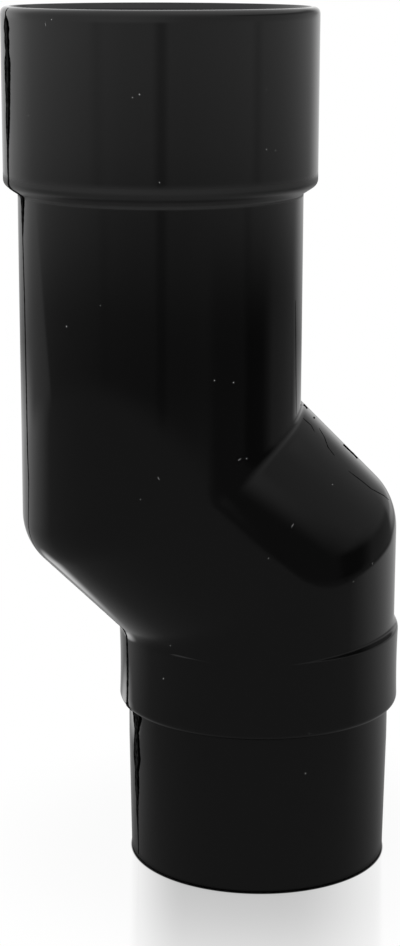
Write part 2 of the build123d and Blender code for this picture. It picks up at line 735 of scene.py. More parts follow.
def ramp(tree, value, stops):
    """Output of a grey Color Ramp, with its stops as pairs of place and level."""
    node = add_node(tree, "ShaderNodeValToRGB", {"Fac": value})
    elements = node.color_ramp.elements
    while len(elements) < len(stops):
        elements.new(0.5)
    for element, (place, level) in zip(elements, stops):
        element.position = place
        element.color = (level, level, level, 1)
    return node.outputs["Color"]


def mixed(tree, share, first, second):
    """Output that goes from one colour or level to another."""
    inputs = {"Factor": share, 6: first, 7: second}
    return add_node(tree, "ShaderNodeMix", inputs, data_type="RGBA").outputs[2]


def scaled_ramp(tree, value, whole, stops):
    """Output of a grey ramp over a value that runs from minus half of a whole to plus half."""
    place = calculated(tree, "MULTIPLY_ADD", value, 1 / whole, 0.5)
    return ramp(tree, place, [(0.5 + stop / whole, level) for stop, level in stops])


def noise_level(tree, place, scale, detail=2.0):
    """Output of noise between 0 and 1."""
    inputs = {"Vector": place, "Scale": scale, "Detail": detail}
    return add_node(tree, "ShaderNodeTexNoise", inputs).outputs[0]


def new_material(name):
    """New material, with its node tree."""
    material = bpy.data.materials.new(name)
    material.use_nodes = True
    return material, material.node_tree


def bumped(tree, shader, height, distance):
    """Roughens a shader's surface by a height between 0 and 1."""
    inputs = {"Height": height, "Distance": distance, "Strength": 1.0}
    bump = add_node(tree, "ShaderNodeBump", inputs).outputs[0]
    tree.links.new(bump, shader.inputs["Normal"])


# Finishes

# Stretch of the flow marks, which run up and down the moulding, and how they turn into more or less gloss
flow_stretch = (60, 60, 14)
flow_edge = (0.35, 0.7)
flow_gloss = (0.8, 1.5)
# Soft edges of the satin band and of its paler line in the crease, which is a painted highlight, in metres
# above the crease
satin_lower_edge = (-0.0009, -0.0003)
satin_upper_edge = (0.0056, 0.0036)
crease_highlight_edge = (0.0014, 0.0009)


def black_plastic():
    """Glossy black moulded plastic: faint flow marks, a fine grain, a satin band under the shoulder and a
    painted highlight in its crease.
    """
    finish = bpy.context.scene.bend_finish
    sizes = bpy.context.scene.bend_sizes
    material, tree = new_material("black_moulded_plastic")
    shader = tree.nodes["Principled BSDF"]
    shader.inputs["IOR"].default_value = 1.5
    place = add_node(tree, "ShaderNodeTexCoord").outputs["Object"]
    height = add_node(tree, "ShaderNodeSeparateXYZ", {"Vector": place}).outputs["Z"]
    flow = noise_level(tree, combined(tree, "MULTIPLY", place, flow_stretch), 1.0, 3.0)
    gloss = eased(tree, flow, *flow_edge, *(finish.roughness * share for share in flow_gloss))
    above_crease = calculated(tree, "SUBTRACT", height, sizes.crease)
    satin_edges = (satin_lower_edge, satin_upper_edge)
    satin = product(tree, *(eased(tree, above_crease, *edge) for edge in satin_edges))
    # The paler line in the crease is a painted highlight
    in_crease_highlight = eased(tree, above_crease, *crease_highlight_edge)
    pale = mixed(tree, in_crease_highlight, (*finish.satin_colour, 1), (*finish.crease_highlight_colour, 1))
    colour = mixed(tree, satin, (*finish.colour, 1), pale)
    tree.links.new(colour, shader.inputs["Base Color"])
    inputs = {"Factor": satin, "A": gloss, "B": finish.satin_roughness}
    roughness = add_node(tree, "ShaderNodeMix", inputs).outputs[0]
    tree.links.new(roughness, shader.inputs["Roughness"])
    bumped(tree, shader, noise_level(tree, place, 1 / finish.grain_length), finish.grain_depth)
    return material


def torn_plastic_and_edge_shade():
    """Dull black of torn plastic, where the parting line's flash was cut away, with painted shade that
    darkens its sides.
    """
    material, tree = new_material("torn_black_plastic")
    shader = tree.nodes["Principled BSDF"]
    shader.inputs["Specular IOR Level"].default_value = 0.0
    shader.inputs["Roughness"].default_value = 0.6
    place = add_node(tree, "ShaderNodeTexCoord").outputs["Object"]
    torn = noise_level(tree, place, 900.0, 3.0)
    middle = ramp(tree, torn, ((0.35, 0.004), (0.65, 0.03)))
    # Painted shade: the flash goes darker towards its sides
    part = add_node(tree, "ShaderNodeAttribute", attribute_name="part").outputs["Vector"]
    across = add_node(tree, "ShaderNodeSeparateXYZ", {0: part}).outputs[0]
    edge = eased(tree, calculated(tree, "ABSOLUTE", across), 0.4, 0.75)
    tree.links.new(mixed(tree, edge, middle, (0.001, 0.001, 0.001, 1)), shader.inputs["Base Color"])
    bumped(tree, shader, torn, 0.0001)
    return material


def pale_dust():
    """Pale grey dust, with a little difference from one speck to the next."""
    material, tree = new_material("pale_dust")
    shader = tree.nodes["Principled BSDF"]
    shader.inputs["Roughness"].default_value = 0.8
    shader.inputs["Specular IOR Level"].default_value = 0.2
    place = add_node(tree, "ShaderNodeTexCoord").outputs["Object"]
    shade = ramp(tree, noise_level(tree, place, 150.0), ((0.35, 0.35), (0.65, 0.9)))
    tree.links.new(shade, shader.inputs["Base Color"])
    return material


# Settings of the finish, the marks and the stage


class BendFinish(bpy.types.PropertyGroup):
    """Finish of the plastic."""

    colour: bpy.props.FloatVectorProperty(
        name="Colour",
        description="Colour of the plastic itself, under its gloss",
        default=(0.002, 0.002, 0.002),
        subtype="COLOR",
        min=0,
        max=1,
    )
    roughness: bpy.props.FloatProperty(
        name="Roughness",
        description="Roughness of the glossy surface",
        default=0.045,
        subtype="FACTOR",
        min=0,
        max=1,
    )
    satin_colour: bpy.props.FloatVectorProperty(
        name="Satin colour",
        description="Colour of the duller band round the crease under the shoulder",
        default=(0.017, 0.017, 0.017),
        subtype="COLOR",
        min=0,
        max=1,
    )
    # Paler colour in the crease under the shoulder: a painted highlight
    crease_highlight_colour: bpy.props.FloatVectorProperty(
        name="Crease colour",
        description="Colour of the satin band's lower edge, down in the crease",
        default=(0.03, 0.03, 0.03),
        subtype="COLOR",
        min=0,
        max=1,
    )
    satin_roughness: bpy.props.FloatProperty(
        name="Satin roughness",
        description="Roughness of the duller band round the crease under the shoulder",
        default=0.38,
        subtype="FACTOR",
        min=0,
        max=1,
    )
    grain_length: bpy.props.FloatProperty(
        name="Grain length",
        description="Size of the fine unevenness of the surface",
        default=0.0016,
        precision=5,
        unit="LENGTH",
    )
    grain_depth: bpy.props.FloatProperty(
        name="Grain depth",
        description="Depth of the fine unevenness of the surface",
        default=0.000001,
        precision=7,
        unit="LENGTH",
    )


class BendMarks(bpy.types.PropertyGroup):
    """What the mould and the store left on the fitting: remains of flash, a seam and dust."""

    flash_rise: bpy.props.FloatProperty(
        name="Flash rise",
        description="How far the flash down the left wall stands out of it where it is wide",
        default=0.00018,
        precision=6,
        unit="LENGTH",
    )
    narrow_rise: bpy.props.FloatProperty(
        name="Narrow rise",
        description="Share of that rise which is left where the flash is narrow",
        default=0.25,
        subtype="FACTOR",
        min=0,
        max=1,
    )
    flash_raggedness: bpy.props.FloatProperty(
        name="Flash raggedness",
        description="How far the torn edges of that flash wander",
        default=0.0007,
        precision=6,
        unit="LENGTH",
    )
    stub_reach: bpy.props.FloatProperty(
        name="Stub reach",
        description="Half the width of the stubs of flash on the slope's right edge",
        default=0.0001,
        precision=6,
        unit="LENGTH",
    )
    stub_rise: bpy.props.FloatProperty(
        name="Stub rise",
        description="How far those stubs stand out of the slope",
        default=0.00025,
        precision=6,
        unit="LENGTH",
    )
    seam_reach: bpy.props.FloatProperty(
        name="Seam reach",
        description="Half the width of the thin seam on the right",
        default=0.00014,
        precision=6,
        unit="LENGTH",
    )
    seam_rise: bpy.props.FloatProperty(
        name="Seam rise",
        description="How far that seam stands out of the wall",
        default=0.00005,
        precision=6,
        unit="LENGTH",
    )
    fine_raggedness: bpy.props.FloatProperty(
        name="Fine raggedness",
        description="How far the edges of the stubs and the seam wander",
        default=0.0001,
        precision=6,
        unit="LENGTH",
    )
    sunk_depth: bpy.props.FloatProperty(
        name="Sunk depth",
        description="How far the flash and the seam are sunk into the wall",
        default=0.0005,
        precision=6,
        unit="LENGTH",
    )
    wall_radius: bpy.props.FloatProperty(
        name="Wall radius",
        description="Radius of the round wall that the flash and the seam follow to their sides",
        default=0.0355,
        unit="LENGTH",
    )
    speck_growth: bpy.props.FloatProperty(
        name="Speck growth",
        description="How many times its listed size each speck of dust is",
        default=1.3,
    )
    fibre_share: bpy.props.FloatProperty(
        name="Fibre share",
        description="Share of the specks that are drawn out to fibres",
        default=0.3,
        subtype="FACTOR",
        min=0,
        max=1,
    )
    dust_seed: bpy.props.IntProperty(
        name="Dust seed",
        description="Number that sets how the specks are turned, and which of them are fibres",
        default=4,
    )


class StageLook(bpy.types.PropertyGroup):
    """Place of the camera and look of the white stage."""

    camera_place: bpy.props.FloatVectorProperty(
        name="Camera place",
        description="Where the camera stands",
        default=(-0.19935, -0.50143, 0.22545),
        subtype="TRANSLATION",
        unit="LENGTH",
    )
    camera_heading: bpy.props.FloatProperty(
        name="Camera heading",
        description="How far the camera looks to the right of +Y",
        default=math.radians(20.096),
        subtype="ANGLE",
    )
    camera_dip: bpy.props.FloatProperty(
        name="Camera dip",
        description="How far the camera looks down",
        default=math.radians(13.264),
        subtype="ANGLE",
    )
    camera_roll: bpy.props.FloatProperty(
        name="Camera roll",
        description="How far the camera is rolled",
        default=math.radians(0.125),
        subtype="ANGLE",
    )
    camera_lens: bpy.props.FloatProperty(
        name="Lens",
        description="Focal length in millimetres",
        default=84.59,
        unit="CAMERA",
    )
    floor_radius: bpy.props.FloatProperty(
        name="Floor radius",
        description="Radius of the round floor",
        default=0.58,
        unit="LENGTH",
    )
    floor_centre: bpy.props.FloatVectorProperty(
        name="Floor centre",
        description="Middle of the round floor",
        default=(-0.17, -0.03),
        size=2,
        unit="LENGTH",
    )
    # Painted pool of light on the floor, which the gloss shows
    patch_place: bpy.props.FloatVectorProperty(
        name="Bright patch",
        description="Middle of the bright patch that the gloss shows on the floor",
        default=(-0.065, 0.118),
        size=2,
        unit="LENGTH",
    )
    patch_radius: bpy.props.FloatProperty(
        name="Bright patch radius",
        description="Radius of the bright patch on the floor",
        default=0.045,
        unit="LENGTH",
    )
    card_distance: bpy.props.FloatProperty(
        name="Dark card distance",
        description="How far from the object the dark card stands that its gloss shows",
        default=0.2,
        unit="LENGTH",
    )
    mirror_share: bpy.props.FloatProperty(
        name="Mirror share",
        description="How much of the floor's look is a mirror, close to the object",
        default=0.45,
        subtype="FACTOR",
        min=0,
        max=1,
    )
    shadow_share: bpy.props.FloatProperty(
        name="Shadow share",
        description="How much of the floor's look takes the object's shadow, close to the object",
        default=0.06,
        subtype="FACTOR",
        min=0,
        max=1,
    )


# The moulding


class OFFSET_BEND_OT_moulding(bpy.types.Operator):
    """Builds the one-piece moulding: socket, shoulder, barrel, bends, collar and spigot, with its bore"""

    bl_idname = "offset_bend.moulding"
    bl_label = "Moulding"

    def execute(self, context):
        sizes = context.scene.bend_sizes
        columns = [whole_column(sizes, 2 * math.pi * n / sizes.columns) for n in range(sizes.columns)]
        rings = len(columns[0])
        if any(len(column) != rings for column in columns):
            raise RuntimeError("the moulding's columns don't have the same number of points")
        faces = []
        for column in range(sizes.columns):
            here = column * rings
            beside = (column + 1) % sizes.columns * rings
            for ring in range(rings):
                below = (ring + 1) % rings
                faces.append((here + ring, here + below, beside + below, beside + ring))
        mesh = bpy.data.meshes.new("moulding")
        mesh.from_pydata([point for column in columns for point in column], [], faces)
        mesh.shade_smooth()
        normals = [vertex.normal.copy() for vertex in mesh.vertices]
        for vertex, normal in zip(mesh.vertices, normals):
            place = vertex.co / sizes.sink_length
            vertex.co += normal * sizes.sink_depth * noise.noise(place)
        mesh.materials.append(black_plastic())
        piece = new_piece("moulding", mesh)
        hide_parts(node_name)
        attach(piece, "root")
        return {"FINISHED"}


# Flash, seam and dust

# Remains of the flash down the left wall, where the mould parts: height, reach to the back and reach to the
# front, in millimetres. A reach below zero leaves the parting plane bare.
left_flash = (
    (212.3, 0.2, 0.2), (210.8, 0.2, 0.3), (209.6, 0.5, 1.6), (207.8, 1.25, 2.4), (206, 0.75, 2.1),
    (204.6, 0.87, 2.3), (202.8, 0.1, 2.0), (199.9, 1.1, 2.8), (195, 0.9, 2.4), (191, 0.7, 2.2),
    (186.7, 0.8, 1.65), (184, 0.8, 1.25), (181.2, 0.5, 0.7), (176.6, 0.7, 0.3), (174, 0.4, 0.3),
    (172, 0.5, 0.5), (170.3, 2.2, 1.2), (167.3, 1.2, 0.8), (163.8, 1.1, 0.2), (159, 0.95, -0.45),
    (145, 0.25, 0.25), (108.7, -0.25, 0.75), (101, -0.9, 1.3), (92, -0.2, 0.5), (70, 0.05, 0.3),
    (61, 0.3, 0.5), (50, 0.5, 0.6), (43, 0.5, 0.5), (40.2, 1.2, 1.6), (38.9, 2.5, 3.9), (34.6, 0.7, 1.8),
    (27.5, 1.9, 2.8), (24, 0.9, 1.4), (20, 1.3, 1.4), (16, 0.6, 0.8), (12.7, 0.9, 0.4), (7, 0.3, 0.3),
    (1.2, 0.15, 0.2),
)
# Thin seam on the right, by its corners in the photograph: across and down
right_seam = (
    ((294.9, 300), (295.3, 323), (295.5, 370), (295.9, 414)),
    ((302.5, 417.5), (310.8, 425), (314, 431)),
    ((318.5, 427.5), (324, 436.7), (327.5, 446.7), (334, 455)),
    ((348, 470.5), (361.7, 480.8), (370.8, 488.3), (383.3, 495), (388.3, 499.2)),
)
# Stubs of flash that still stand on the slope's right edge, by their corners in the photograph
flash_stubs = (
    ((303.2, 404), (305.2, 406), (306.8, 408.2)),
    ((313, 416.4), (314.2, 418)),
    ((342.8, 444), (350, 450.8), (354, 454.6), (357, 458)),
)
# Specks and short fibres on the front: place in the photograph, across and down, and size in millimetres
front_specks = (
    (132, 97, 0.2), (139, 94, 0.25), (28, 115, 0.15), (266, 149, 0.22), (275, 150, 0.2), (266, 89, 0.15),
    (159, 182, 0.2), (66, 326, 0.26), (100, 305, 0.15), (214, 380, 0.2), (233, 382, 0.22),
    (158, 478, 0.2), (140, 499, 0.16), (239, 459, 0.26), (246, 458, 0.2), (332, 484, 0.22),
    (292, 525, 0.3), (268, 558, 0.22), (353, 581, 0.2), (372, 563, 0.18), (170, 645, 0.26),
    (163, 678, 0.28), (305, 773, 0.22), (309, 733, 0.16), (45, 24, 0.2), (51, 19, 0.18),
)
# Width and height of the photograph that those places are in, and the camera's sensor in millimetres
photo_width = 400
photo_height = 946
sensor_size = 36
# Longest steps down the wall, in metres, and between corners in the photograph, in its pixels
wall_step = 0.0003
photo_step = 0.7
# Share of its width that a stub or the seam loses at its ends, and the power by which it narrows
end_narrowing = 0.85
end_power = 4
# Scale and detail of the noise that tears the edges at the back and the front
back_tear = (700.0, 4.0)
front_tear = (1500.0, 3.0)
# Least width that the flash counts with, in metres, and the most of its width that its torn edges wander
least_width = 0.0001
widest_wander = 0.9
# Width from which the flash has its whole rise, in metres, and the share of its rise where the noise is least
whole_rise_width = 0.0025
least_rise = 0.4
# Length, breadth and thickness of a speck, in shares of its size, and what a fibre adds to the first two
speck_shape = (1.0, 0.8, 0.35)
fibre_stretch = (2.2, -0.55)


def wall_line(sizes, turn, top, bottom):
    """Points down the whole outside at one turn, between two heights in millimetres."""
    column = outside_column(sizes, turn)[0]
    foot = [point for point in collar_and_spigot(sizes) if point.y < sizes.collar_middle]
    foot = foot[: min(number for number, point in enumerate(foot) if point.y < 0.0001) + 1]
    column += about_axis(0, turn, foot)
    return [point for point in spaced(column, wall_step) if bottom / 1000 <= point.z <= top / 1000]


def reach_at(reaches, height):
    """The flash's reach to the back and to the front at a height, from a list in millimetres."""
    for upper, lower in zip(reaches, reaches[1:]):
        if lower[0] <= height * 1000 <= upper[0]:
            share = (upper[0] - height * 1000) / (upper[0] - lower[0])
            ends = zip(upper[1:], lower[1:])
            return tuple((first + (last - first) * share) / 1000 for first, last in ends)
    raise RuntimeError("a height outside the list of reaches")


def along_line(line, number):
    """Direction of a line at one of its points, from the point before to the point after."""
    return line[min(number + 1, len(line) - 1)] - line[max(number - 1, 0)]


def flash_path(line, outwards, reaches):
    """Mesh line that carries the wall's outward and sideways directions and the flash's reaches."""
    mesh = bpy.data.meshes.new("flash_path")
    mesh.from_pydata(line, [(n, n + 1) for n in range(len(line) - 1)], [])
    for name in ("outward", "sideways"):
        mesh.attributes.new(name, "FLOAT_VECTOR", "POINT")
    for name in ("back", "front"):
        mesh.attributes.new(name, "FLOAT", "POINT")
    for number, (back, front) in enumerate(reaches):
        sideways = along_line(line, number).cross(outwards[number]).normalized()
        mesh.attributes["outward"].data[number].vector = outwards[number]
        mesh.attributes["sideways"].data[number].vector = sideways
        mesh.attributes["back"].data[number].value = back
        mesh.attributes["front"].data[number].value = front
    return mesh


def wall_flash_path(sizes, turn, reaches):
    """Flash path down the left or right wall."""
    line = wall_line(sizes, turn, reaches[0][0], reaches[-1][0])
    level = Vector((0, math.cos(turn), 0))
    outwards = [along_line(line, number).cross(level).normalized() for number in range(len(line))]
    return flash_path(line, outwards, [reach_at(reaches, point.z) for point in line])


def camera_matrix(look):
    """Where the camera stands and looks."""
    turn = Matrix.Rotation(-look.camera_heading, 4, "Z")
    tilt = Matrix.Rotation(math.pi / 2 - look.camera_dip, 4, "X")
    roll = Matrix.Rotation(look.camera_roll, 4, "Z")
    return Matrix.Translation(look.camera_place) @ turn @ tilt @ roll


def moulding_skin():
    """The moulding's faces, ready for rays to be cast at them."""
    mesh = bpy.data.objects["moulding"].data
    return BVHTree.FromPolygons([v.co for v in mesh.vertices], [p.vertices for p in mesh.polygons])


def seen_places(look, skin, marks):
    """Places on the moulding, and its outward directions there, that the camera sees at some marks."""
    camera = camera_matrix(look)
    focus = look.camera_lens / sensor_size * photo_height
    found = []
    for across, down in marks:
        right = (across + 0.5 - photo_width / 2) / focus
        up = (photo_height / 2 - down - 0.5) / focus
        ray = camera.to_3x3() @ Vector((right, up, -1))
        hit, outward = skin.ray_cast(camera.translation, ray.normalized())[:2]
        if hit is None:
            raise RuntimeError("a mark misses the moulding")
        found.append((hit, outward))
    return found


def seen_flash_path(look, skin, corners, reach):
    """Flash path through places in the photograph, narrower towards its ends."""
    marks = spaced([Vector(corner) for corner in corners], photo_step)
    line, outwards = zip(*seen_places(look, skin, marks))
    reaches = []
    for number in range(len(line)):
        from_middle = 2 * number / (len(line) - 1) - 1
        narrowed = reach * (1 - end_narrowing * from_middle**end_power)
        reaches.append((narrowed, narrowed))
    return flash_path(line, outwards, reaches)


def new_group(name, numbers):
    """Geometry node group that takes a mesh, some numbers and a seed, and the outputs of its input node."""
    tree = bpy.data.node_groups.new(name, "GeometryNodeTree")
    tree.interface.new_socket("Geometry", in_out="INPUT", socket_type="NodeSocketGeometry")
    for number in numbers:
        tree.interface.new_socket(number, in_out="INPUT", socket_type="NodeSocketFloat")
    tree.interface.new_socket("Seed", in_out="INPUT", socket_type="NodeSocketInt")
    tree.interface.new_socket("Geometry", in_out="OUTPUT", socket_type="NodeSocketGeometry")
    return tree, add_node(tree, "NodeGroupInput").outputs


def end_group(tree, geometry, material):
    """Makes real meshes of what a node group built, gives them a material and hands them out."""
    whole = add_node(tree, "GeometryNodeRealizeInstances", {"Geometry": geometry}).outputs[0]
    inputs = {"Geometry": whole, "Material": material}
    finished = add_node(tree, "GeometryNodeSetMaterial", inputs).outputs[0]
    add_node(tree, "NodeGroupOutput", {"Geometry": finished})


def stored_vector(tree, geometry, name, value):
    """Output of a geometry with a vector stored on its points."""
    inputs = {"Geometry": geometry, "Name": name, "Value": value}
    settings = {"data_type": "FLOAT_VECTOR", "domain": "POINT"}
    return add_node(tree, "GeometryNodeStoreNamedAttribute", inputs, **settings).outputs[0]


def named_vector(tree, name):
    """Output of a stored vector."""
    node = add_node(tree, "GeometryNodeInputNamedAttribute", {"Name": name}, data_type="FLOAT_VECTOR")
    return node.outputs[0]


def named_number(tree, name):
    """Output of a stored number."""
    return add_node(tree, "GeometryNodeInputNamedAttribute", {"Name": name}, data_type="FLOAT").outputs[0]


def seeded_noise(tree, place, seed, scale, detail):
    """Output of noise between 0 and 1 that a seed changes."""
    inputs = {"Vector": place, "W": seed, "Scale": scale, "Detail": detail}
    return add_node(tree, "ShaderNodeTexNoise", inputs, noise_dimensions="4D").outputs[0]


def random_number(tree, seed, lowest, highest):
    """Output of a random number for each point."""
    inputs = {2: lowest, 3: highest, "Seed": seed}
    return add_node(tree, "FunctionNodeRandomValue", inputs, data_type="FLOAT").outputs[1]


def flash_nodes(material):
    """Node group that lays a thin ragged ribbon along a path on the wall, sunk a little way into it."""
    names = ("Rise", "Narrow rise", "Sunk depth", "Wall radius", "Raggedness")
    tree, given = new_group("flash_ribbon", names)
    sunk = given["Sunk depth"]
    own_place = add_node(tree, "GeometryNodeInputPosition").outputs[0]
    path = add_node(tree, "GeometryNodeMeshToCurve", {"Mesh": given["Geometry"]}).outputs[0]
    path = stored_vector(tree, path, "rail", own_place)
    inputs = {"Width": 2.0, "Height": 2.0}
    outline = add_node(tree, "GeometryNodeCurvePrimitiveQuadrilateral", inputs).outputs[0]
    outline = add_node(tree, "GeometryNodeResampleCurve", {"Curve": outline, "Count": 24}).outputs[0]
    outline = stored_vector(tree, outline, "part", own_place)
    inputs = {"Curve": path, "Profile Curve": outline, "Fill Caps": True}
    ribbon = add_node(tree, "GeometryNodeCurveToMesh", inputs).outputs[0]
    rail = named_vector(tree, "rail")
    part = add_node(tree, "ShaderNodeSeparateXYZ", {0: named_vector(tree, "part")}).outputs
    back = named_number(tree, "back")
    front = named_number(tree, "front")
    coarse = seeded_noise(tree, rail, given["Seed"], *back_tear)
    fine = seeded_noise(tree, rail, calculated(tree, "ADD", given["Seed"], 7.0), *front_tear)
    width = calculated(tree, "MAXIMUM", calculated(tree, "ADD", back, front), least_width)
    rough = calculated(tree, "MINIMUM", given["Raggedness"], product(tree, width, widest_wander))
    back_edge = calculated(tree, "MULTIPLY_ADD", calculated(tree, "SUBTRACT", coarse, 0.5), rough, back)
    front_edge = calculated(tree, "MULTIPLY_ADD", calculated(tree, "SUBTRACT", fine, 0.5), rough, front)
    share = calculated(tree, "MULTIPLY_ADD", part[0], 0.5, 0.5)
    reach = calculated(tree, "ADD", back_edge, front_edge)
    side = calculated(tree, "SUBTRACT", product(tree, share, reach), front_edge)
    wall_width = calculated(tree, "MULTIPLY", given["Wall radius"], 2.0)
    fall = calculated(tree, "DIVIDE", product(tree, side, side), wall_width)
    lift = product(tree, given["Rise"], calculated(tree, "ADD", coarse, least_rise))
    lift = product(tree, lift, eased(tree, width, 0.0, whole_rise_width, given["Narrow rise"], 1.0))
    upper = calculated(tree, "GREATER_THAN", part[1], 0.0)
    level = product(tree, upper, calculated(tree, "ADD", lift, sunk))
    level = calculated(tree, "SUBTRACT", calculated(tree, "SUBTRACT", level, sunk), fall)
    moved = combined(tree, "ADD", rail, scaled(tree, named_vector(tree, "outward"), level))
    moved = combined(tree, "ADD", moved, scaled(tree, named_vector(tree, "sideways"), side))
    inputs = {"Geometry": ribbon, "Position": moved}
    end_group(tree, add_node(tree, "GeometryNodeSetPosition", inputs).outputs[0], material)
    return tree


def dust_nodes(material):
    """Node group that sets a flat speck on each point, turned at random, and draws some out to fibres."""
    tree, given = new_group("dust_specks", ("Fibre share",))
    seed = given["Seed"]
    speck = add_node(tree, "GeometryNodeMeshIcoSphere", {"Radius": 0.5, "Subdivisions": 2}).outputs[0]
    inputs = {"Vector": named_vector(tree, "outward")}
    facing = add_node(tree, "FunctionNodeAlignRotationToVector", inputs, axis="Z").outputs[0]
    inputs = {"Axis": (0, 0, 1), "Angle": random_number(tree, seed, 0.0, 2 * math.pi)}
    spin = add_node(tree, "FunctionNodeAxisAngleToRotation", inputs).outputs[0]
    inputs = {0: facing, 1: spin}
    turned = add_node(tree, "FunctionNodeRotateRotation", inputs, rotation_space="LOCAL").outputs[0]
    chance = random_number(tree, calculated(tree, "ADD", seed, 1.0), 0.0, 1.0)
    fibre = calculated(tree, "LESS_THAN", chance, given["Fibre share"])
    length = calculated(tree, "MULTIPLY_ADD", fibre, fibre_stretch[0], speck_shape[0])
    breadth = calculated(tree, "MULTIPLY_ADD", fibre, fibre_stretch[1], speck_shape[1])
    shape = add_node(tree, "ShaderNodeCombineXYZ", {0: length, 1: breadth, 2: speck_shape[2]}).outputs[0]
    size = scaled(tree, shape, named_number(tree, "size"))
    points = add_node(tree, "GeometryNodeMeshToPoints", {"Mesh": given["Geometry"]}).outputs[0]
    inputs = {"Points": points, "Instance": speck, "Rotation": turned, "Scale": size}
    specks = add_node(tree, "GeometryNodeInstanceOnPoints", inputs).outputs[0]
    end_group(tree, specks, material)
    return tree


def applied_nodes(name, base, tree, **values):
    """Runs a node group on a mesh and returns the finished piece, with its values given by name."""
    holder = new_piece(name + "_base", base)
    modifier = holder.modifiers.new("nodes", "NODES")
    modifier.node_group = tree
    for socket in tree.interface.items_tree:
        key = socket.name.lower().replace(" ", "_")
        if socket.in_out == "INPUT" and key in values:
            modifier[socket.identifier] = values[key]
    evaluated = holder.evaluated_get(bpy.context.evaluated_depsgraph_get())
    mesh = bpy.data.meshes.new_from_object(evaluated)
    mesh.name = name
    bpy.data.objects.remove(holder)
    return new_piece(name, mesh)


class OFFSET_BEND_OT_flash(bpy.types.Operator):
    """Lays the remains of the flash down the left wall, and the stubs and the seam on the right"""

    bl_idname = "offset_bend.flash"
    bl_label = "Parting line flash"

    def execute(self, context):
        marks = context.scene.bend_marks
        skin = moulding_skin()
        left = wall_flash_path(context.scene.bend_sizes, math.pi, left_flash)
        ribbons = [("flash_left", left, marks.flash_rise, marks.narrow_rise, marks.flash_raggedness)]
        lines = [("flash_stub", corners, marks.stub_reach, marks.stub_rise) for corners in flash_stubs]
        lines += [("seam_right", corners, marks.seam_reach, marks.seam_rise) for corners in right_seam]
        for number, (name, corners, reach, rise) in enumerate(lines, 1):
            path = seen_flash_path(context.scene.stage_look, skin, corners, reach)
            ribbons.append((f"{name}_{number}", path, rise, 1.0, marks.fine_raggedness))
        tree = flash_nodes(torn_plastic_and_edge_shade())
        for number, (name, path, rise, narrow_rise, raggedness) in enumerate(ribbons):
            values = {"rise": rise, "narrow_rise": narrow_rise, "raggedness": raggedness, "seed": number}
            values["sunk_depth"] = marks.sunk_depth
            values["wall_radius"] = marks.wall_radius
            piece = applied_nodes(name, path, tree, **values)
            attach(piece, "root")
        return {"FINISHED"}


class OFFSET_BEND_OT_dust(bpy.types.Operator):
    """Sets specks of dust and fibres on the moulding"""

    bl_idname = "offset_bend.dust"
    bl_label = "Dust"

    def execute(self, context):
        marks = context.scene.bend_marks
        corners = [speck[:2] for speck in front_specks]
        places = seen_places(context.scene.stage_look, moulding_skin(), corners)
        base = bpy.data.meshes.new("dust_places")
        base.from_pydata([place for place, outward in places], [], [])
        base.attributes.new("outward", "FLOAT_VECTOR", "POINT")
        base.attributes.new("size", "FLOAT", "POINT")
        for number, (place, outward) in enumerate(places):
            size = front_specks[number][2] / 1000 * marks.speck_growth
            base.attributes["outward"].data[number].vector = outward
            base.attributes["size"].data[number].value = size
        tree = dust_nodes(pale_dust())
        piece = applied_nodes("dust", base, tree, fibre_share=marks.fibre_share, seed=marks.dust_seed)
        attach(piece, "root")
        return {"FINISHED"}


# Stage

# Levels of the studio above the horizon, by degrees of height, on each side of the object
studio_front = ((0, 0.42), (30, 0.6), (60, 1.0), (90, 1.0))
studio_left = ((0, 0.66), (15, 0.7), (45, 0.85), (90, 1.0))
studio_right = ((0, 0.45), (8, 0.4), (14, 0.26), (21, 0.26), (29, 0.7), (60, 1.0), (90, 1.0))
studio_back = ((0, 1.0), (90, 1.0))
# Where the left, the right and the back take over from the front, by how far a direction points that way
left_edge = (-0.1, 0.8)
right_edge = (0.3, 0.75)
back_edge = (0.58, 0.92)
# The table beyond the floor: how it darkens downwards, by degrees of height,
# and its level by degrees from the back
table_fall = ((-90, 0.3), (-14, 0.3), (-11, 0.18), (-9, 0.23), (-7, 0.48), (-5, 0.74), (-2, 1.0))
table_around = (
    (-180, 0.42), (-167, 0.42), (-163, 0.28), (-160, 0.28), (-155, 0.44), (-135, 0.47), (-122, 0.52),
    (-115, 0.48), (-108, 0.58), (-90, 0.65), (-55, 0.7), (-40, 0.86), (43, 0.8), (50, 0.6), (99, 0.53),
    (120, 0.5), (126, 0.4), (132, 0.5), (180, 0.42),
)
# Its back and its left back have levels of their own, between soft edges by degrees from the back. One edge
# of the left back leans with the height.
table_back_fall = ((-90, 0.75), (-12, 0.7), (-10, 0.3), (-8, 0.45), (-5, 0.72), (-2, 0.8))
table_back_edges = ((-36, -22), (66, 46))
table_left_fall = (
    (-90, 0.4), (-14, 0.36), (-11, 0.28), (-9, 0.3), (-7, 0.45), (-5, 0.68), (-2, 0.86),
)
table_left_edge = (-20, -32)
leaning_edge = (-21, -18)
leaning_slope = -3.6
# Soft edge of the horizon, in degrees of height
horizon_edge = (-1.6, -0.2)
# Plain level at which the studio lights everything
studio_level = 0.7


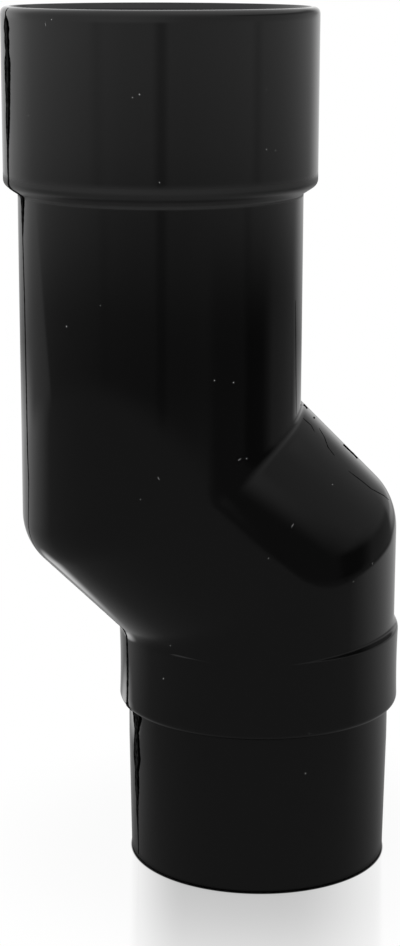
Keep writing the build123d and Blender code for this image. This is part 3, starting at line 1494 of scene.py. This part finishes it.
def studio_world():
    """White to the camera. In the gloss it is pale at the back and left, dim in front, and dark low down."""
    world = bpy.data.worlds.new("studio")
    world.use_nodes = True
    tree = world.node_tree
    tree.nodes.clear()
    direction = add_node(tree, "ShaderNodeTexCoord").outputs["Generated"]
    x, y, z = add_node(tree, "ShaderNodeSeparateXYZ", {"Vector": direction}).outputs
    height = calculated(tree, "DEGREES", calculated(tree, "ARCSINE", z))
    around = calculated(tree, "DEGREES", calculated(tree, "ARCTAN2", x, y))
    level_length = calculated(tree, "SQRT", calculated(tree, "SUBTRACT", 1.001, product(tree, z, z)))
    rightward = calculated(tree, "DIVIDE", x, level_length)
    leftward = calculated(tree, "MULTIPLY", rightward, -1.0)
    backward = calculated(tree, "DIVIDE", y, level_length)
    sides = ((leftward, left_edge, studio_left), (rightward, right_edge, studio_right))
    upper = scaled_ramp(tree, height, 180, studio_front)
    for way, edge, stops in (*sides, (backward, back_edge, studio_back)):
        upper = mixed(tree, eased(tree, way, *edge), upper, scaled_ramp(tree, height, 180, stops))
    levels = scaled_ramp(tree, around, 360, table_around)
    lower = mixed(tree, 1.0, scaled_ramp(tree, height, 180, table_fall), levels)
    lower.node.blend_type = "MULTIPLY"
    leaning = calculated(tree, "MULTIPLY_ADD", height, leaning_slope, around)
    left_back = product(tree, eased(tree, leaning, *leaning_edge), eased(tree, around, *table_left_edge))
    lower = mixed(tree, left_back, lower, scaled_ramp(tree, height, 180, table_left_fall))
    back = product(tree, *(eased(tree, around, *edge) for edge in table_back_edges))
    lower = mixed(tree, back, lower, scaled_ramp(tree, height, 180, table_back_fall))
    gloss = mixed(tree, eased(tree, height, *horizon_edge), lower, upper)
    path = add_node(tree, "ShaderNodeLightPath")
    shown = calculated(tree, "MAXIMUM", path.outputs["Is Glossy Ray"], path.outputs["Is Transmission Ray"])
    level = mixed(tree, shown, (studio_level, studio_level, studio_level, 1), gloss)
    level = mixed(tree, path.outputs["Is Camera Ray"], level, (1, 1, 1, 1))
    background = add_node(tree, "ShaderNodeBackground", {"Color": level, "Strength": 1.0})
    add_node(tree, "ShaderNodeOutputWorld", {"Surface": background.outputs[0]})
    return world


# Levels of the floor in the gloss, by centimetres from the middle towards the right and back
floor_levels = (
    (-50, 0.16), (-2, 0.16), (3, 0.24), (7, 0.31), (12, 0.37), (18, 0.46), (25, 0.54), (40, 0.66),
)
floor_heading = Vector((0.5, 0.87, 0))
# Fainter and wider glow behind the object: its middle, its soft edge and its level
glow_place = (0, 0.09, 0)
glow_edge = (0.11, 0.03)
glow_level = 0.07
# Bright patch of floor, a painted pool of light that the gloss shows: its level, and the share of its radius
# where it starts to fade
patch_level = 1.1
patch_fade = 0.2
# Painted contact shadow, a dark ring where the spigot touches the floor, in metres beyond its end: in the
# gloss, and to the camera too
gloss_contact_shadow = (0.0003, 0.0025)
gloss_contact_shadow_level = 0.6
painted_contact_shadow = (0.0, 0.0004)
# How the shadow and the mirror fade away from the middle, and the mirror's edges left and right, in metres
shadow_fade = (0.04, 0.09)
mirror_fade = (0.02, 0.125)
mirror_edges = ((-0.037, -0.018), (0.042, 0.004))
# The floor's height, in metres, and the share of its radius where it starts to fade into the background
floor_height = -0.0001
floor_fade = 0.84


def floor_glow(tree, place, away, by_camera):
    """Output of how brightly the floor glows: white to the camera, and dimmer in the gloss, with a painted
    contact shadow round the spigot's end.
    """
    look = bpy.context.scene.stage_look
    sizes = bpy.context.scene.bend_sizes
    foot = sizes.spigot_radius - sizes.spigot_taper
    behind = measured(tree, "DOT_PRODUCT", place, 100 * floor_heading)
    patch_away = measured(tree, "DISTANCE", place, (*look.patch_place, 0))
    patch = eased(tree, patch_away, look.patch_radius, patch_fade * look.patch_radius, 0.0, patch_level)
    glow_away = measured(tree, "DISTANCE", place, glow_place)
    lit = calculated(tree, "ADD", scaled_ramp(tree, behind, 120, floor_levels), patch)
    lit = calculated(tree, "ADD", lit, eased(tree, glow_away, *glow_edge, 0.0, glow_level))
    # Painted contact shadow round the spigot's end, in the gloss and to the camera
    beyond_foot = calculated(tree, "SUBTRACT", away, foot)
    lit = product(tree, lit, eased(tree, beyond_foot, *gloss_contact_shadow, gloss_contact_shadow_level, 1.0))
    shown = calculated(tree, "MAXIMUM", by_camera, lit)
    return product(tree, shown, eased(tree, beyond_foot, *painted_contact_shadow))


def blended_shaders(tree, share, first, second):
    """Output of two shaders blended by a share."""
    return add_node(tree, "ShaderNodeMixShader", {0: share, 1: first, 2: second}).outputs[0]


def floor_finish():
    """White floor with a faint mirror that fades away from the object, and a trace of its shadow."""
    material, tree = new_material("white_floor")
    tree.nodes.clear()
    look = bpy.context.scene.stage_look
    place = add_node(tree, "ShaderNodeTexCoord").outputs["Object"]
    path = add_node(tree, "ShaderNodeLightPath").outputs
    by_camera = path["Is Camera Ray"]
    away = measured(tree, "DISTANCE", place, (0, 0, 0))
    inputs = {"Color": (1, 1, 1, 1), "Strength": floor_glow(tree, place, away, by_camera)}
    glow = add_node(tree, "ShaderNodeEmission", inputs).outputs[0]
    shade = add_node(tree, "ShaderNodeBsdfDiffuse", {"Color": (0.8, 0.8, 0.8, 1)}).outputs[0]
    shadow_share = product(tree, eased(tree, away, *shadow_fade, look.shadow_share, 0.0), by_camera)
    surface = blended_shaders(tree, shadow_share, glow, shade)
    inputs = {"Color": (1, 1, 1, 1), "Roughness": 0.12}
    mirror = add_node(tree, "ShaderNodeBsdfAnisotropic", inputs).outputs[0]
    across = Vector((math.cos(look.camera_heading), -math.sin(look.camera_heading), 0))
    sideways = measured(tree, "DOT_PRODUCT", place, across)
    edges = [eased(tree, sideways, *edge) for edge in mirror_edges]
    fade = eased(tree, away, *mirror_fade, look.mirror_share, 0.0)
    surface = blended_shaders(tree, product(tree, fade, *edges, by_camera), surface, mirror)
    seen = calculated(tree, "MAXIMUM", by_camera, path["Is Glossy Ray"])
    seen = calculated(tree, "MAXIMUM", seen, path["Is Transmission Ray"])
    surface = blended_shaders(tree, seen, shade, surface)
    clear = add_node(tree, "ShaderNodeBsdfTransparent").outputs[0]
    middle_away = measured(tree, "DISTANCE", place, (*look.floor_centre, 0))
    edge = eased(tree, middle_away, floor_fade * look.floor_radius, look.floor_radius)
    underside = add_node(tree, "ShaderNodeNewGeometry").outputs["Backfacing"]
    surface = blended_shaders(tree, calculated(tree, "MAXIMUM", edge, underside), surface, clear)
    add_node(tree, "ShaderNodeOutputMaterial", {"Surface": surface})
    return material


# Levels of the dark card, by degrees from the front towards the right
card_levels = ((0, 0.06), (39, 0.06), (46, 0.025), (61, 0.028), (68, 0.07), (75, 0.13), (115, 0.14))
# How far the card goes round from the front, in degrees, and up, in metres, and its soft edges both ways
card_turns = (4, 115)
card_turn_edges = ((5, 17), (114, 104))
card_heights = (0.04, 0.15)
card_height_edges = ((0.044, 0.058), (0.148, 0.1))


def dark_card_finish():
    """Dark card with soft edges, which only the gloss shows."""
    material, tree = new_material("dark_card")
    tree.nodes.clear()
    place = add_node(tree, "ShaderNodeTexCoord").outputs["Object"]
    x, y, z = add_node(tree, "ShaderNodeSeparateXYZ", {"Vector": place}).outputs
    towards_front = calculated(tree, "MULTIPLY", y, -1.0)
    around = calculated(tree, "DEGREES", calculated(tree, "ARCTAN2", x, towards_front))
    edges = [eased(tree, around, *edge) for edge in card_turn_edges]
    edges += [eased(tree, z, *edge) for edge in card_height_edges]
    in_gloss = add_node(tree, "ShaderNodeLightPath").outputs["Is Glossy Ray"]
    clear = add_node(tree, "ShaderNodeBsdfTransparent").outputs[0]
    inputs = {"Color": scaled_ramp(tree, around, 360, card_levels)}
    dark = add_node(tree, "ShaderNodeEmission", inputs).outputs[0]
    surface = blended_shaders(tree, product(tree, in_gloss, *edges), clear, dark)
    add_node(tree, "ShaderNodeOutputMaterial", {"Surface": surface})
    return material


def disc(name, centre, radius, height, segments=96):
    """Flat round mesh that faces up."""
    mesh = bpy.data.meshes.new(name)
    points = []
    for number in range(segments):
        turn = 2 * math.pi * number / segments
        points.append((centre[0] + radius * math.cos(turn), centre[1] + radius * math.sin(turn), height))
    mesh.from_pydata(points, [], [range(segments)])
    return mesh


def upright_card(name, radius, turns, heights, segments=48):
    """Part of an upright cylinder round the object, between two turns in degrees from the front."""
    mesh = bpy.data.meshes.new(name)
    first, last = turns
    points = []
    for number in range(segments + 1):
        turn = math.radians(first + (last - first) * number / segments)
        for height in heights:
            points.append((radius * math.sin(turn), -radius * math.cos(turn), height))
    faces = [(2 * n, 2 * n + 2, 2 * n + 3, 2 * n + 1) for n in range(segments)]
    mesh.from_pydata(points, [], faces)
    return mesh


class OFFSET_BEND_OT_stage(bpy.types.Operator):
    """Builds the stage: the floor, the dark card, the studio's light and the camera"""

    bl_idname = "offset_bend.stage"
    bl_label = "Stage"

    def execute(self, context):
        look = context.scene.stage_look
        floor = new_piece("floor", disc("floor", look.floor_centre, look.floor_radius, floor_height))
        floor.data.materials.append(floor_finish())
        card = upright_card("dark_card", look.card_distance, card_turns, card_heights)
        card.materials.append(dark_card_finish())
        new_piece("dark_card", card)
        context.scene.world = studio_world()
        camera = new_piece("camera", bpy.data.cameras.new("camera"))
        camera.matrix_world = camera_matrix(look)
        camera.data.sensor_width = sensor_size
        camera.data.lens = look.camera_lens
        context.scene.camera = camera
        context.scene.view_settings.view_transform = "Standard"
        return {"FINISHED"}


# The add-on


class OFFSET_BEND_PT_panel(bpy.types.Panel):
    """Buttons that build the offset bend's pieces and its stage"""

    bl_idname = "OFFSET_BEND_PT_panel"
    bl_label = "Offset bend"
    bl_space_type = "VIEW_3D"
    bl_region_type = "UI"
    bl_category = "Offset bend"

    def draw(self, context):
        for operator in operators:
            self.layout.operator(operator.bl_idname)


operators = (OFFSET_BEND_OT_moulding, OFFSET_BEND_OT_flash, OFFSET_BEND_OT_dust, OFFSET_BEND_OT_stage)
settings = (BendSizes, BendFinish, BendMarks, StageLook)
classes = (*settings, *operators, OFFSET_BEND_PT_panel)


def register():
    for cls in classes:
        bpy.utils.register_class(cls)
    bpy.types.Scene.bend_sizes = bpy.props.PointerProperty(type=BendSizes)
    bpy.types.Scene.bend_finish = bpy.props.PointerProperty(type=BendFinish)
    bpy.types.Scene.bend_marks = bpy.props.PointerProperty(type=BendMarks)
    bpy.types.Scene.stage_look = bpy.props.PointerProperty(type=StageLook)


def unregister():
    del bpy.types.Scene.stage_look
    del bpy.types.Scene.bend_marks
    del bpy.types.Scene.bend_finish
    del bpy.types.Scene.bend_sizes
    for cls in reversed(classes):
        bpy.utils.unregister_class(cls)


def main():
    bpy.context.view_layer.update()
    register()
    bpy.ops.offset_bend.moulding()
    bpy.ops.offset_bend.flash()
    bpy.ops.offset_bend.dust()
    bpy.ops.offset_bend.stage()


if __name__ == "__main__":
    main()
